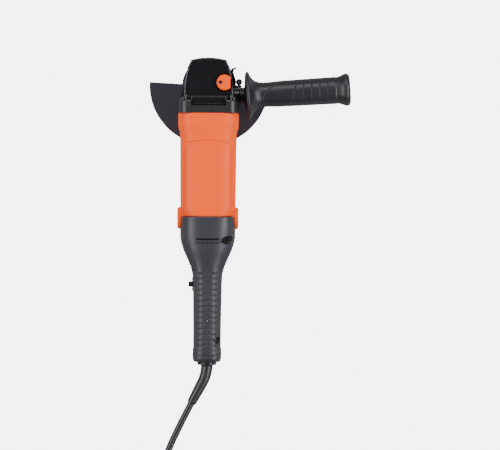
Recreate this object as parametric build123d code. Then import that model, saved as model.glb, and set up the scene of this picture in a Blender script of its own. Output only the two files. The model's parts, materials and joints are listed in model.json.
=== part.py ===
"""Angle grinder for a 125 mm wheel: long rear handle, side handle, quick-clamp guard, mains lead.

The tool is drawn in its own frame: X to the right, Y forward along the motor, Z up along the
spindle, with the origin where the spindle and motor axes cross.  At the end every piece is turned
nose-up, so that the tool stands on the guard's rim and the heel of its rear handle, as it does
when it is put down, and moved so that the origin is under the middle of the object.
"""

from build123d import *
from copy import copy
from math import atan2, cos, degrees, hypot, pi, radians, sin, tan
import os

# ---------------------------------------------------------------- driving dimensions (mm, degrees)
GUARD_RADIUS = 68.5
GUARD_TURN = -3.0
GUARD_PLATE_Z = -41.0
GUARD_RIM_Z = -63.0
SHEET = 1.6

CASE_TOP = 26.0
CASE_BOTTOM = -24.0
CASE_NOSE = 30.2
CASE_REAR = -18.2
CHAMBER_RADIUS = 24.2
NECK_RADIUS = 22.0
NECK_BOTTOM = -46.0

PLATE_REAR = -33.0
PLATE_HALF = 33.5
HOUSING_REAR = -151.0
HEEL_Y = -312.0
HANDLE_REAR = -317.0
HEEL_Z = -24.0

SPINDLE_END = -70.0
M14_RADIUS = 7.0
BEARING_BORE = 6.0
RUNNING = 0.03

CROWN_TEETH = 38
PINION_TEETH = 12
MODULE = 1.18
TOOTH_FACE = 7.0
LOCK_HOLES = 4

LOCK_X = 18.1
LOCK_Y = 1.8
LOCK_PIN_X = 11.0

HANDLE_X = 45.3
HANDLE_Y = -12.5
HANDLE_Z = 3.0
HANDLE_LEAN = 3.9
HANDLE_LENGTH = 127.0
HANDLE_ROOT_X = 35.5
M8_RADIUS = 4.0
SECOND_HOLE_DEPTH = 9.0

LEVER_X = 34.5
LEVER_Y = 4.0
BAND_LOW = -40.8
BAND_HIGH = -34.5

BRUSH_Y = -152.6
CAP_RADIUS = 12.75
CAP_FACE = 35.0
COMMUTATOR_RADIUS = 11.0

WALL = 2.6
SCREW_SPOTS = [(-177.5, 24.0, 15.0), (-177.5, -25.0, 15.0), (-292.0, 14.5, 8.0), (-292.0, -15.0, 8.0)]
TRIGGER_FRONT = -222.0
TRIGGER_REAR = -270.0
TRIGGER_HALF = 7.5
TRIGGER_PIN = (-226.5, -14.0)
SWITCH_FLOOR = -4.0
LOCK_ON_Y = -228.0
LOCK_ON_Z = 2.0
CLAMP_Y = -302.0
CLAMP_POST_X = 8.0

CORD_RADIUS = 4.0
BOOT_BEND = 28.0
BOOT_BEND_RADIUS = 45.0
BOOT_STRAIGHT = 26.0
BOOT_BORE = 16.0

# the lead, in the resting frame: from the boot along the floor to the coil, and from the coil to the plug
LEAD_ROUTE = [(-56.83, -180.86, 17.69), (-75.61, -215.73, 12.11), (-93.0, -254.0, 5.5), (-104.0, -288.0, 4.6),
              (-106.0, -322.3, 5.4)]
TAIL_ROUTE = [(-50.0, -378.3, 13.4), (-22.0, -379.8, 10.8), (8.0, -384.3, 11.4), (34.0, -392.3, 13.2)]
COIL_CENTRE = (-50.0, -322.3)
COIL_INNER = 36.0
COIL_OUTER = 60.0
COIL_FLOOR = 1.4
COIL_HEIGHT = 16.0
TIE_WIDTH = 12.0
TIE_GAUGE = 1.2


# ---------------------------------------------------------------- small makers
def disc(radius, low, high, x=0.0, y=0.0):
    """Round bar standing along Z."""
    return Pos(x, y, (low + high) / 2) * Cylinder(radius, high - low)


def rod(radius, back, front, x=0.0, z=0.0):
    """Round bar lying along Y."""
    return Pos(x, (back + front) / 2, z) * Rot(90, 0, 0) * Cylinder(radius, front - back)


def bar(radius, left, right, y=0.0, z=0.0):
    """Round bar lying along X."""
    return Pos((left + right) / 2, y, z) * Rot(0, 90, 0) * Cylinder(radius, right - left)


def block(x0, x1, y0, y1, z0, z1):
    """Box between two corners."""
    return Pos((x0 + x1) / 2, (y0 + y1) / 2, (z0 + z1) / 2) * Box(x1 - x0, y1 - y0, z1 - z0)


def turned(points):
    """Solid of revolution about Z from an outline of (radius, z) points."""
    return revolve(make_face(Plane.XZ * Polyline(*points, close=True)), Axis.Z)


def turned_y(points):
    """Solid of revolution about Y from an outline of (radius, y) points."""
    return revolve(make_face(Plane.XY * Polyline(*points, close=True)), Axis.Y)


def upright(points, low, high):
    """Outline in plan, standing from low to high."""
    return extrude(Plane.XY.offset(low) * make_face(Polyline(*points, close=True)), high - low)


def section(y, half_width, low, high, corner):
    """Rounded rectangle across the motor axis."""
    plane = Plane(origin=(0, y, (low + high) / 2), x_dir=(1, 0, 0), z_dir=(0, -1, 0))
    return plane * RectangleRounded(2 * half_width, high - low, corner)


def skinned(stations, inset=0.0):
    """Ruled solid through rounded sections, each (y, half width, low, high, corner)."""
    faces = []
    for y, half, low, high, corner in stations:
        faces.append(section(y, half - inset, low + inset, high - inset, max(corner - inset, 1.0)))
    return loft(Sketch() + faces, ruled=True)


def spring(radius, wire, length, turns):
    """Compression spring standing on the origin, along Z."""
    path = Helix(pitch=length / turns, height=length, radius=radius)
    return sweep(Plane(origin=path @ 0, z_dir=path % 0) * Circle(wire), path, is_frenet=True)


def hexagon(across_flats, low, high, x=0.0, y=0.0):
    """Hexagonal bar standing along Z."""
    face = RegularPolygon(across_flats / 2, 6, major_radius=False)
    return extrude(Plane.XY.offset(low) * Pos(x, y) * face, high - low)


def joined(*solids):
    """One solid from overlapping ones."""
    first, *rest = solids
    return first.fuse(*rest).clean()


# ---------------------------------------------------------------- bevel gears
CONE = CROWN_TEETH * MODULE / 2 / sin(atan2(CROWN_TEETH, PINION_TEETH))
CROWN_ANGLE = degrees(atan2(CROWN_TEETH, PINION_TEETH))
PINION_ANGLE = 90 - CROWN_ANGLE


def tooth(along, across, outward):
    """One straight bevel tooth, narrowing towards the point where the two axes cross."""
    ends = []
    for distance in (CONE - TOOTH_FACE, CONE):
        size = MODULE * distance / CONE
        plane = Plane(origin=along * distance, x_dir=across, z_dir=along)
        if plane.y_dir.dot(outward) < 0:
            plane = Plane(origin=along * distance, x_dir=-across, z_dir=along)
        outline = [(-1.05, -1.3), (1.05, -1.3), (0.30, 0.8), (-0.30, 0.8)]
        ends.append(make_face(plane * Polyline(*[(u * size, v * size) for u, v in outline], close=True)))
    return loft(Sketch() + ends, ruled=True)


def crown_teeth():
    lean = radians(CROWN_ANGLE)
    made = []
    for k in range(CROWN_TEETH):
        turn = radians(-90 + k * 360 / CROWN_TEETH)
        along = Vector(cos(turn) * sin(lean), sin(turn) * sin(lean), -cos(lean))
        outward = Vector(cos(turn) * cos(lean), sin(turn) * cos(lean), sin(lean))
        made.append(tooth(along, Vector(-sin(turn), cos(turn), 0), outward))
    return made


def pinion_teeth():
    lean = radians(PINION_ANGLE)
    made = []
    for k in range(PINION_TEETH):
        turn = radians(-90 + (k + 0.5) * 360 / PINION_TEETH)
        radial = Vector(cos(turn), 0, sin(turn))
        along = radial * sin(lean) - Vector(0, cos(lean), 0)
        outward = radial * cos(lean) + Vector(0, sin(lean), 0)
        made.append(tooth(along, Vector(-sin(turn), 0, cos(turn)), outward))
    return made


def root_point(angle, distance):
    """Radius and depth of the toothless cone between the teeth, at a distance from its point."""
    lean, drop = radians(angle), 1.2 * MODULE * distance / CONE
    return (distance * sin(lean) - drop * cos(lean), -distance * cos(lean) - drop * sin(lean))


def crown_gear():
    """Large bevel gear pressed on the spindle, with holes in its web for the lock pin."""
    outer = root_point(CROWN_ANGLE, CONE + 0.5)
    inner = root_point(CROWN_ANGLE, CONE - TOOTH_FACE - 0.5)
    blank = turned([(BEARING_BORE, -14), (20, -14), outer, inner, (inner[0] - 0.6, -8),
                    (8.4, -8), (8.4, -4), (BEARING_BORE, -4)])
    gear = joined(blank, *crown_teeth())
    turn = degrees(atan2(LOCK_Y, LOCK_PIN_X))
    reach = hypot(LOCK_PIN_X, LOCK_Y)
    for k in range(LOCK_HOLES):
        way = radians(turn + k * 360 / LOCK_HOLES)
        gear -= disc(2.5, -15, -7, reach * cos(way), reach * sin(way))
    return gear


def pinion_gear():
    """Small bevel gear on the end of the armature shaft."""
    outer = root_point(PINION_ANGLE, CONE + 0.3)
    inner = root_point(PINION_ANGLE, CONE - TOOTH_FACE - 0.3)
    blank = turned_y([(3, inner[1]), inner, outer, (5.6, outer[1] - 0.9), (5.6, -24.6), (3, -24.6)])
    return joined(blank, *pinion_teeth())


# ---------------------------------------------------------------- gear head
def handle_plane(at=0.0):
    """Plane square to the side handle's axis, at a distance from the boss face."""
    way = Vector(cos(radians(HANDLE_LEAN)), sin(radians(HANDLE_LEAN)), 0)
    root = Vector(HANDLE_X, HANDLE_Y, HANDLE_Z) - way * ((HANDLE_X - HANDLE_ROOT_X) / way.X)
    return Plane(origin=root + way * at, x_dir=(0, 0, 1), z_dir=way)


def handle_bar(radius, start, end):
    return extrude(handle_plane(start) * Circle(radius), end - start)


def second_plane():
    """Plane on the second handle hole's mouth, on the left of the case."""
    way = Vector(-cos(radians(HANDLE_LEAN)), sin(radians(HANDLE_LEAN)), 0)
    return Plane(origin=(-28.3, HANDLE_Y, HANDLE_Z), x_dir=(0, 0, 1), z_dir=way)


CASE_PLAN = [(20.0, 27.6), (24.2, 18.8), (28.0, 0.0), (28.4, -14.0), (28.4, CASE_REAR)]
SPIGOT_HALF = 22.0
SPIGOT_REAR = -24.5


def case_outline():
    right = Polyline(*CASE_PLAN)
    left = Polyline(*[(-x, y) for x, y in CASE_PLAN])
    nose = ThreePointArc((20.0, 27.6), (0, CASE_NOSE), (-20.0, 27.6))
    back = Line((28.4, CASE_REAR), (-28.4, CASE_REAR))
    return make_face(Curve() + [right, left, nose, back])


def gear_case():
    """Cast gear case: chamber for the gears, bush seat, lock button well and handle bosses."""
    body = extrude(Plane.XY.offset(CASE_BOTTOM) * case_outline(), CASE_TOP - CASE_BOTTOM)
    body = fillet(body.edges().group_by(Axis.Z)[-1], 2.2)
    foot = upright([(-28.0, 0), (-33.0, -15.5), (-33.0, CASE_REAR), (33.0, CASE_REAR),
                    (33.0, -15.5), (28.0, 0)], CASE_BOTTOM, 2)
    tab = block(-20, 20, SPIGOT_REAR, -14, 10, CASE_TOP + 1.6)
    spigot = block(-SPIGOT_HALF, SPIGOT_HALF, SPIGOT_REAR, CASE_REAR + 1, CASE_BOTTOM, CASE_TOP - 2)
    body = joined(body, foot, fillet(tab.edges().group_by(Axis.Z)[-1], 1.2), spigot, handle_bar(9.5, -14, 0))
    body -= disc(CHAMBER_RADIUS, CASE_BOTTOM - 1, -3)
    body -= disc(14.5, -4, 8.5)
    body -= rod(9.2, SPIGOT_REAR - 1, 0)
    body -= disc(7, 8, 18.2)
    for x, z in corner_screws():
        body -= rod(5.2, CASE_REAR - 0.1, CASE_REAR + 6.2, x, z)
    body -= lock_outline(10.2, 0.7, 20, CASE_TOP + 3)
    body -= disc(4.4, 12, 21, LOCK_PIN_X, LOCK_Y)
    body -= disc(2.15, 0, 13, LOCK_PIN_X, LOCK_Y)
    body -= handle_bar(M8_RADIUS, -19, 1)
    body -= extrude(second_plane() * Circle(9), 10)
    body -= extrude(second_plane().offset(1) * Circle(M8_RADIUS), -1 - SECOND_HOLE_DEPTH)
    for x, y in flange_spots():
        body -= disc(2, CASE_BOTTOM - 1, CASE_BOTTOM + 10, x, y)
    return body


def corner_screws():
    """Places of the four long screws that hold the gear head to the motor housing."""
    return [(x, z) for x in (-27.6, 27.6) for z in (-25.0, 25.0)]


def flange_spots():
    return [(19.3, 19.0), (-19.3, 19.0), (25.0, -12.6), (-25.0, -12.6)]


def lock_outline(radius, spare, low, high):
    """D-shaped prism of the lock button or of its well."""
    return disc(radius, low, high, LOCK_X, LOCK_Y) - block(26.2 + spare, 40, -20, 20, low - 1, high + 1)


def spindle_lock_button():
    cap = lock_outline(9.5, 0, CASE_TOP - 0.6, CASE_TOP + 4.8)
    cap = fillet(cap.edges().group_by(Axis.Z)[-1], 0.9)
    return cap - disc(2, CASE_TOP - 1, CASE_TOP + 4.2, LOCK_PIN_X, LOCK_Y)


def lock_pin():
    return disc(2, -6.4, CASE_TOP + 4.2, LOCK_PIN_X, LOCK_Y)


def lock_spring():
    return Pos(LOCK_PIN_X, LOCK_Y, 17.9) * spring(2.6, 0.4, 6.8, 4)


def gear_plate():
    """Plate between the gear case and the motor housing; it holds the front bearing."""
    front = [(CASE_REAR, PLATE_HALF - 1.2, -30.8, 31.4, 9), (CASE_REAR - 1.6, PLATE_HALF, -31.6, 32.2, 10),
             (PLATE_REAR, PLATE_HALF, -31.6, 32.2, 10)]
    body = skinned(list(reversed(front)))
    body -= block(-SPIGOT_HALF, SPIGOT_HALF, SPIGOT_REAR, CASE_REAR + 1, CASE_BOTTOM - 12, CASE_TOP - 2)
    body -= block(-20, 20, SPIGOT_REAR, CASE_REAR + 1, 10, 40)
    body -= handle_bar(9.5, -14, 0)
    body -= rod(13, PLATE_REAR - 1, -25)
    body -= rod(9, -26, SPIGOT_REAR + 1)
    for x, z in corner_screws():
        body -= rod(2.1, PLATE_REAR - 1, CASE_REAR + 1, x, z)
    return body


def case_screws():
    made = []
    for x, z in corner_screws():
        head = rod(4, CASE_REAR, CASE_REAR + 3.2, x, z)
        socket = rod(1.9, CASE_REAR + 1.4, CASE_REAR + 4, x, z)
        made.append(joined(head, rod(2.0, -51, CASE_REAR + 0.5, x, z)) - socket)
    return Compound(children=made)


def bearing_flange():
    """Flange under the gear case: holds the lower bearing and carries the guard on its neck."""
    plate = disc(31, -32, CASE_BOTTOM) & block(-33, 33, CASE_REAR, 40, -40, 0)
    plate = plate & extrude(Plane.XY.offset(-40) * case_outline(), 40)
    body = joined(plate, disc(CHAMBER_RADIUS, CASE_BOTTOM - 1, -20), disc(NECK_RADIUS, NECK_BOTTOM, -31))
    body -= disc(16, -26, 0)
    body -= disc(14, -31, -25)
    body -= disc(10.5, NECK_BOTTOM - 1, -30)
    body -= disc(16, NECK_BOTTOM - 1, -40)
    for x, y in flange_spots():
        body -= disc(2, -33, -20, x, y)
        body -= Pos(x, y, -30.8) * Cone(4.0, 1.6, 2.4)
    for x, z in corner_screws():
        body -= rod(5.2, CASE_REAR - 0.1, CASE_REAR + 6.2, x, z)
    return body


def flange_screws():
    made = []
    for x, y in flange_spots():
        head = Pos(x, y, -30.8) * Cone(4.0, 1.6, 2.4)
        made.append(joined(head, disc(2, -31, CASE_BOTTOM + 9, x, y)) - hexagon(2.5, -32.1, -30.6, x, y))
    return Compound(children=made)


# ---------------------------------------------------------------- spindle
def spindle():
    """Output shaft: free nose with its thread relief, thread, shoulder, bearing seat and top journal."""
    r = BEARING_BORE
    relief = M14_RADIUS - 0.9
    return turned([(0, SPINDLE_END), (M14_RADIUS - 1, SPINDLE_END), (M14_RADIUS, SPINDLE_END + 1),
                   (M14_RADIUS, -64.2), (relief, -64.2), (relief, -63.2), (M14_RADIUS, -63.2),
                   (M14_RADIUS, -47), (8.8, -47), (8.8, -26.2), (r, -26.2), (r, -3), (4, -1), (4, 17), (0, 17)])


def ring(inner, outer, low, high):
    return disc(outer, low, high) - disc(inner, low - 1, high + 1)


def ball_bearing(inner, outer, width):
    """Bearing as one ring with a groove each side between its races, standing on the origin."""
    middle = (inner + outer) / 2
    body = ring(inner, outer, 0, width)
    for low, high in ((-1, 0.8), (width - 0.8, width + 1)):
        body -= ring(middle - 1.8, middle + 1.8, low, high)
    return body


def inner_flange():
    return turned([(M14_RADIUS, -55), (11.1, -55), (11.1, -53), (21, -53), (21, -52), (19.5, -49),
                   (14, -47), (M14_RADIUS, -47)])


def outer_nut():
    nut = turned([(M14_RADIUS, -63), (15, -63), (15, -58.5), (20, -57.5), (20, -55), (M14_RADIUS, -55)])
    for x in (-11, 11):
        nut -= disc(2.5, -64, -58, x, 0)
    return nut


# ---------------------------------------------------------------- guard and its clamp
def half_disc(radius, low, high):
    return disc(radius, low, high) & block(-100, 100, -100, 0, low, high)


def guard_shell():
    """Pressed steel guard: a half plate with a rim that turns in at its lower edge."""
    z = GUARD_PLATE_Z
    plate = joined(half_disc(GUARD_RADIUS, z - SHEET, z), disc(31, z - SHEET, z))
    rim = half_disc(GUARD_RADIUS, GUARD_RIM_Z, z) - disc(GUARD_RADIUS - SHEET, GUARD_RIM_Z - 1, z - SHEET)
    lip = half_disc(GUARD_RADIUS, GUARD_RIM_Z, GUARD_RIM_Z + SHEET) - disc(64, -70, -60)
    return Rot(0, 0, GUARD_TURN) * (joined(plate, rim, lip) - disc(22.3, z - 5, z + 1))


def guard_band():
    """Split band welded on the guard, with two ears that the clamp screw pulls together."""
    body = joined(ring(NECK_RADIUS + 0.05, 24.3, BAND_LOW - 0.2, BAND_HIGH),
                  block(22.6, 38.5, -10.2, -8, BAND_LOW, BAND_HIGH),
                  block(22.6, 37.5, -2, 0.2, BAND_LOW, BAND_HIGH))
    body -= block(18, 30, -8, -2, BAND_LOW - 1, BAND_HIGH + 1)
    body -= rod(2.05, -12, 2, LEVER_X, (BAND_LOW + BAND_HIGH) / 2)
    return body


BAND_MID = (BAND_LOW + BAND_HIGH) / 2


def clamp_screw():
    shank = rod(2, -17, 2, LEVER_X, BAND_MID)
    eye = disc(2.6, BAND_MID - 1.6, BAND_MID + 1.6, LEVER_X, LEVER_Y)
    return joined(shank, eye) - disc(1.25, -50, -20, LEVER_X, LEVER_Y)


def clamp_nut():
    nut = Pos(LEVER_X, -10.2, BAND_MID) * Rot(90, 0, 0) * Rot(0, 0, 30) * hexagon(5.8, 0, 4.4)
    return nut - rod(2, -18, -9, LEVER_X, BAND_MID)


def lever_pin():
    return disc(1.25, BAND_LOW + 0.2, BAND_HIGH + 0.9, LEVER_X, LEVER_Y)


def clamp_lever():
    """Over-centre lever: a forked cam on the pin and a finger that curls along the case."""
    low, high = BAND_LOW + 0.4, BAND_HIGH + 0.4
    cam = disc(3.6, low, high, LEVER_X, LEVER_Y)
    arm = upright([(LEVER_X - 3.2, LEVER_Y), (LEVER_X - 6.2, 14.5), (LEVER_X - 6.6, 17.5), (LEVER_X - 2.8, 19.5),
                   (LEVER_X - 3.4, 21.0), (LEVER_X - 9.0, 19.6), (LEVER_X - 9.4, 15.5), (LEVER_X - 8.4, 13.8),
                   (LEVER_X - 5.6, 5.5), (LEVER_X - 3.4, LEVER_Y - 1)], low, high)
    body = joined(cam, arm) - disc(1.35, -50, -20, LEVER_X, LEVER_Y)
    body -= disc(4.2, BAND_MID - 2.2, BAND_MID + 2.2, LEVER_X, LEVER_Y)
    return body


# ---------------------------------------------------------------- motor
HOUSING = [(PLATE_REAR, 35.2, -33.0, 34.0, 19), (-46, 35.2, -33.0, 34.0, 19), (-50, 34.9, -32.8, 33.7, 19),
           (-54, 34.2, -32.4, 33.2, 19), (-58, 33.3, -32.0, 32.7, 19), (-62, 32.8, -31.8, 32.4, 19),
           (-140, 32.0, -31.4, 31.6, 19), (-145, 31.0, -30.8, 31.0, 18.5), (-149, 29.0, -29.4, 29.6, 18),
           (HOUSING_REAR, 27.0, -28.0, 28.2, 17)]


def motor_housing():
    """Moulded housing: outer skin, seat for the field, brush bosses and rear bearing boss."""
    body = joined(skinned(HOUSING), rod(26.5, -168, -148), rod(14.5, -176, -166))
    body -= rod(28.2, -148, PLATE_REAR + 1)
    body -= rod(24, -165, -147)
    body -= rod(12.5, -175, -164)
    body -= rod(5, -178, -170)
    for x, z in corner_screws():
        body -= rod(2.1, -52, PLATE_REAR + 1, x, z)
    body -= bar(8, 22, 40, BRUSH_Y) + bar(8, -40, -22, BRUSH_Y)
    return body


def air_baffle():
    return turned_y([(21, -58), (28.2, -58), (28.2, -70), (26.5, -70), (26.5, -59.5), (21, -59.5)])


def fan():
    hub = rod(6, -55, -39) - rod(5, -60, -30)
    disc_plate = rod(26.5, -55, -53.4) - rod(5, -60, -30)
    blades = []
    for k in range(16):
        blade = block(9, 26, -0.7, 0.7, -0.1, 11)
        blades.append(Rot(0, k * 22.5, 0) * Pos(0, -53.5, 0) * Rot(-90, 0, 0) * blade)
    boss = rod(9.4, -53.5, -43) - rod(5, -60, -30)
    return joined(hub, disc_plate, boss, *blades)


def armature_shaft():
    return turned_y([(0, -174.5), (4, -174.5), (4, -166), (5, -166), (5, -24.6), (3, -24.6), (3, -10.4),
                     (0, -10.4)])


def armature_core():
    core = rod(17.5, -124, -80) - rod(5, -130, -70)
    for k in range(12):
        way = radians(k * 30)
        core -= rod(2.1, -125, -79, 14.2 * cos(way), 14.2 * sin(way))
    return core


def armature_windings():
    front = turned_y([(5, -80), (16.4, -80), (16, -74), (12, -70.5), (5, -70.5)])
    back = turned_y([(5, -124), (5, -134), (12, -133.5), (16, -130), (16.4, -124)])
    bars = []
    for k in range(12):
        way = radians(k * 30)
        bars.append(rod(2.1, -125, -79, 14.2 * cos(way), 14.2 * sin(way)))
    return joined(front, back, *bars)


def commutator():
    drum = rod(COMMUTATOR_RADIUS, -162, -143) - rod(5, -170, -130)
    riser = rod(12.6, -143, -139) - rod(5, -170, -130)
    body = joined(drum, riser)
    for k in range(24):
        slit = block(9.6, 12, -0.3, 0.3, 0, 19)
        body -= Rot(0, k * 15, 0) * Pos(0, -162.1, 0) * Rot(-90, 0, 0) * slit
    return body


def field_core():
    """Stator stack with two pole arcs, as one ring open at its two winding windows."""
    body = rod(28.2, -125, -79) - rod(18.1, -130, -70)
    body -= block(-25, -16, -130, -70, -9, 9) + block(16, 25, -130, -70, -9, 9)
    return body


def field_coils():
    """Two coils, one in each window, with their ends standing out of the stack."""
    made = []
    for side in (-1, 1):
        near, far = sorted((side * 18.6, side * 24.4))
        made.append(block(near, far, -133, -71.5, -8.6, 8.6))
    return Compound(children=made)


def brush_parts(inner, outer, half_y, half_z):
    made = []
    for side in (-1, 1):
        near, far = sorted((side * inner, side * outer))
        made.append(block(near, far, BRUSH_Y - half_y, BRUSH_Y + half_y, -half_z, half_z))
    return made


def brush_holders():
    outside = brush_parts(13.5, 29, 4.6, 6.4)
    inside = brush_parts(12, 30, 3.3, 5.0)
    return Compound(children=[a - b for a, b in zip(outside, inside)])


def brushes():
    return Compound(children=brush_parts(COMMUTATOR_RADIUS + 0.05, 21, 3.25, 4.95))


def brush_springs():
    one = Pos(21.5, BRUSH_Y, 0) * Rot(0, 90, 0) * spring(2.4, 0.35, 7.0, 5)
    return Compound(children=[one, Rot(0, 180, 0) * one])


def brush_caps():
    made = []
    for side in (-1, 1):
        inner, outer = sorted((side * 32.7, side * CAP_FACE))
        cap = bar(CAP_RADIUS, inner, outer, BRUSH_Y)
        low, high = sorted((side * 29.0, side * 32.8))
        slot_low, slot_high = sorted((side * (CAP_FACE - 1.1), side * (CAP_FACE + 1)))
        cap = joined(cap, bar(7.9, low, high, BRUSH_Y))
        made.append(cap - block(slot_low, slot_high, BRUSH_Y - 7.5, BRUSH_Y + 7.5, -1.0, 1.0))
    return Compound(children=made)


# ---------------------------------------------------------------- rear handle
GRIP = [(HOUSING_REAR, 31.3, -31.0, 31.0, 19), (-168, 31.5, -31.0, 31.0, 19), (-175, 31.5, -30.6, 30.6, 18.5),
        (-182.5, 29.8, -29.4, 29.6, 17.5), (-190, 27.4, -27.6, 28.2, 16.5), (-197, 24.2, -25.8, 26.2, 15.5),
        (-204.4, 21.1, -24.2, 24.2, 14.5), (-211.7, 18.5, -22.8, 22.6, 13.5), (-219, 17.0, -21.8, 21.6, 12.5),
        (-240, 16.4, -21.0, 20.6, 12), (-302.7, 15.7, -21.0, 20.0, 12), (HEEL_Y, 15.6, HEEL_Z, 19.4, 11),
        (HANDLE_REAR, 13.4, -21.6, 17.6, 9)]


def grip_solid():
    """Both handle halves as one shell with its bosses, vents, trigger slot and screw wells."""
    outside = skinned(GRIP)
    inner = [list(s) for s in GRIP[:-2]] + [[-309.0, 15.2, -21.4, 19.6, 11.5]]
    shell = outside - skinned([[HOUSING_REAR + 1, *GRIP[0][1:]]] + inner, WALL)
    pillars = []
    for y, z, seat in SCREW_SPOTS:
        pillars.append(bar(4.2, -seat, seat, y, z))
    ears = []
    for side in (-1, 1):
        pillars.append(disc(3, -20, CORD_RADIUS, side * CLAMP_POST_X, CLAMP_Y))
        near, far = sorted((side * 30.0, side * 32.5))
        ears.append(block(near, far, -166, -140.5, -8.5, 8.5))
    shell = joined(shell, *[(p & outside) for p in pillars], *ears)
    for y, z, seat in SCREW_SPOTS:
        shell -= bar(1.6, -seat + 2, seat + 1, y, z)
        shell -= bar(4.4 if z > 0 and y > -200 else 3.4, seat, 40, y, z)
    shell -= block(-TRIGGER_HALF - 0.5, TRIGGER_HALF + 0.5, TRIGGER_REAR - 1.8, TRIGGER_FRONT + 0.6, -40, -12)
    for y in (-176.7, -181.0):
        shell -= block(-12.9, 12.9, y - 0.8, y + 0.8, 26, 40)
    for z in (-8.0, -4.0, 0.0, 4.0, 8.0):
        shell -= block(-40, 40, -204, -180, z - 1.0, z + 1.0)
    shell -= bar(8.2, -40, 40, BRUSH_Y)
    shell -= bar(3.3, -30, -8, LOCK_ON_Y, LOCK_ON_Z)
    shell -= rod(5.0, HANDLE_REAR - 1, -300)
    shell -= rod(7.2, -312.5, -309.0)
    shell -= bar(1.5, -13.5, 13.5, *TRIGGER_PIN)
    for x in (-CLAMP_POST_X, CLAMP_POST_X):
        shell -= disc(1.5, -8, CORD_RADIUS + 1, x, CLAMP_Y)
    shell -= skinned(HOUSING[-4:])
    return shell


def handle_half(shell, side):
    near, far = sorted((0.0, side * 60.0))
    return shell & block(near, far, -330, -130, -50, 50)


def handle_screws():
    made = []
    for y, z, seat in SCREW_SPOTS:
        head = bar(3.2, seat, seat + 2.4, y, z) - bar(1.3, seat + 1.2, seat + 3, y, z)
        made.append(joined(head, bar(1.6, -seat + 2, seat + 0.5, y, z)))
    return Compound(children=made)


def switch_body():
    body = block(-9, 9, -262, -233, SWITCH_FLOOR, 13)
    body -= disc(3.8, SWITCH_FLOOR - 1, SWITCH_FLOOR + 9, 0, -256)
    return body


def trigger():
    """Long trigger under the grip, hinged at its front end."""
    y, z = TRIGGER_PIN
    side = Plane.YZ * make_face(Polyline((y + 4, -10.4), (TRIGGER_REAR, -9.4), (TRIGGER_REAR, -24.5),
                                         (TRIGGER_REAR + 4, -27.8), (-246, -28.6), (-228, -26.4),
                                         (TRIGGER_FRONT, -22.6), (TRIGGER_FRONT, -11.5), close=True))
    body = extrude(side, TRIGGER_HALF, both=True)
    body = fillet(body.edges().filter_by(Plane.YZ, reverse=True).group_by(Axis.Z)[0], 0.5)
    body -= bar(1.55, -20, 20, y, z)
    body -= disc(3.2, -13.4, -9, 0, -256)
    return body


def trigger_pin():
    return bar(1.5, -13.5, 13.5, *TRIGGER_PIN)


def trigger_spring():
    return Pos(0, -256, -13.0) * spring(2.4, 0.4, 8.4, 5)


def lock_on_button():
    stem = bar(3, -21.6, -9, LOCK_ON_Y, LOCK_ON_Z)
    stem = fillet(stem.edges().group_by(Axis.X)[0], 0.8)
    return joined(stem, bar(4.4, -13.4, -12.2, LOCK_ON_Y, LOCK_ON_Z))


def lock_on_bezel():
    plate = Plane(origin=(-16.2, LOCK_ON_Y, LOCK_ON_Z), x_dir=(0, 1, 0), z_dir=(-1, 0, 0)) * SlotOverall(16, 11)
    return extrude(plate, 1.4) - bar(3.3, -30, -8, LOCK_ON_Y, LOCK_ON_Z) - skinned(GRIP)


def capacitor():
    return fillet(block(-7, 7, -222, -206, 1, 9).edges(), 1.5)


def cord_clamp():
    body = block(-11, 11, CLAMP_Y - 3, CLAMP_Y + 3, CORD_RADIUS, CORD_RADIUS + 3)
    body = fillet(body.edges().filter_by(Axis.Z), 2)
    for x in (-CLAMP_POST_X, CLAMP_POST_X):
        body -= disc(1.5, 0, 20, x, CLAMP_Y)
    return body


def clamp_screws():
    made = []
    for x in (-CLAMP_POST_X, CLAMP_POST_X):
        top = CORD_RADIUS + 3
        made.append(joined(disc(1.5, -8, top + 0.2, x, CLAMP_Y), disc(2.8, top, top + 2, x, CLAMP_Y)))
    return Compound(children=made)


# ---------------------------------------------------------------- side handle
def side_handle():
    """Moulded side handle with a wide hand flange and a flared end, built along its own axis."""
    flange = 7.6
    outline = [(M8_RADIUS, 0), (8.5, 0), (8.5, 5.5), (24, flange), (27.2, flange + 0.3), (27.5, flange + 2.2),
               (26.6, flange + 4.4), (24.0, flange + 4.8), (19.6, flange + 7.2), (16.4, flange + 11.2),
               (14.4, flange + 18), (14.0, flange + 24), (14.8, flange + 34), (15.2, 100), (15.6, 107),
               (16.8, 113), (18.4, 118), (18.6, 121), (17.6, 124), (13, 126.4), (6, HANDLE_LENGTH),
               (0, HANDLE_LENGTH), (0, 34), (M8_RADIUS, 34)]
    return handle_plane().location * turned(outline)


def side_handle_stud():
    return handle_bar(M8_RADIUS, -18, 34)


# ---------------------------------------------------------------- mains lead
def boot_line(bent):
    """Plane square to the boot's centre line, where it has turned by the given angle."""
    turn = radians(bent)
    point = (-BOOT_BEND_RADIUS * (1 - cos(turn)), HANDLE_REAR - 3 - BOOT_BEND_RADIUS * sin(turn), 0)
    return Plane(origin=point, x_dir=(0, 0, 1), z_dir=(-sin(turn), -cos(turn), 0))


def cord_boot():
    """Strain relief: a flange held by the handle halves and a tapering sleeve that bends to the left."""
    y = HANDLE_REAR
    root = turned_y([(0, -309.2), (7.1, -309.2), (7.1, -312.3), (4.9, -312.3), (4.9, y), (11, y),
                     (11, y - 3.4), (0, y - 3.4)])
    rings = [boot_line(bent) * Circle(6.7 - bent * 0.02) for bent in (0, 7, 14, 21, BOOT_BEND)]
    last = boot_line(BOOT_BEND)
    rings.append(last.offset(BOOT_STRAIGHT) * Circle(5.3))
    sleeve = loft(Sketch() + rings)
    bore = extrude(last.offset(BOOT_STRAIGHT - BOOT_BORE) * Circle(CORD_RADIUS), BOOT_BORE + 1)
    return joined(root, sleeve) - bore


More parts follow.
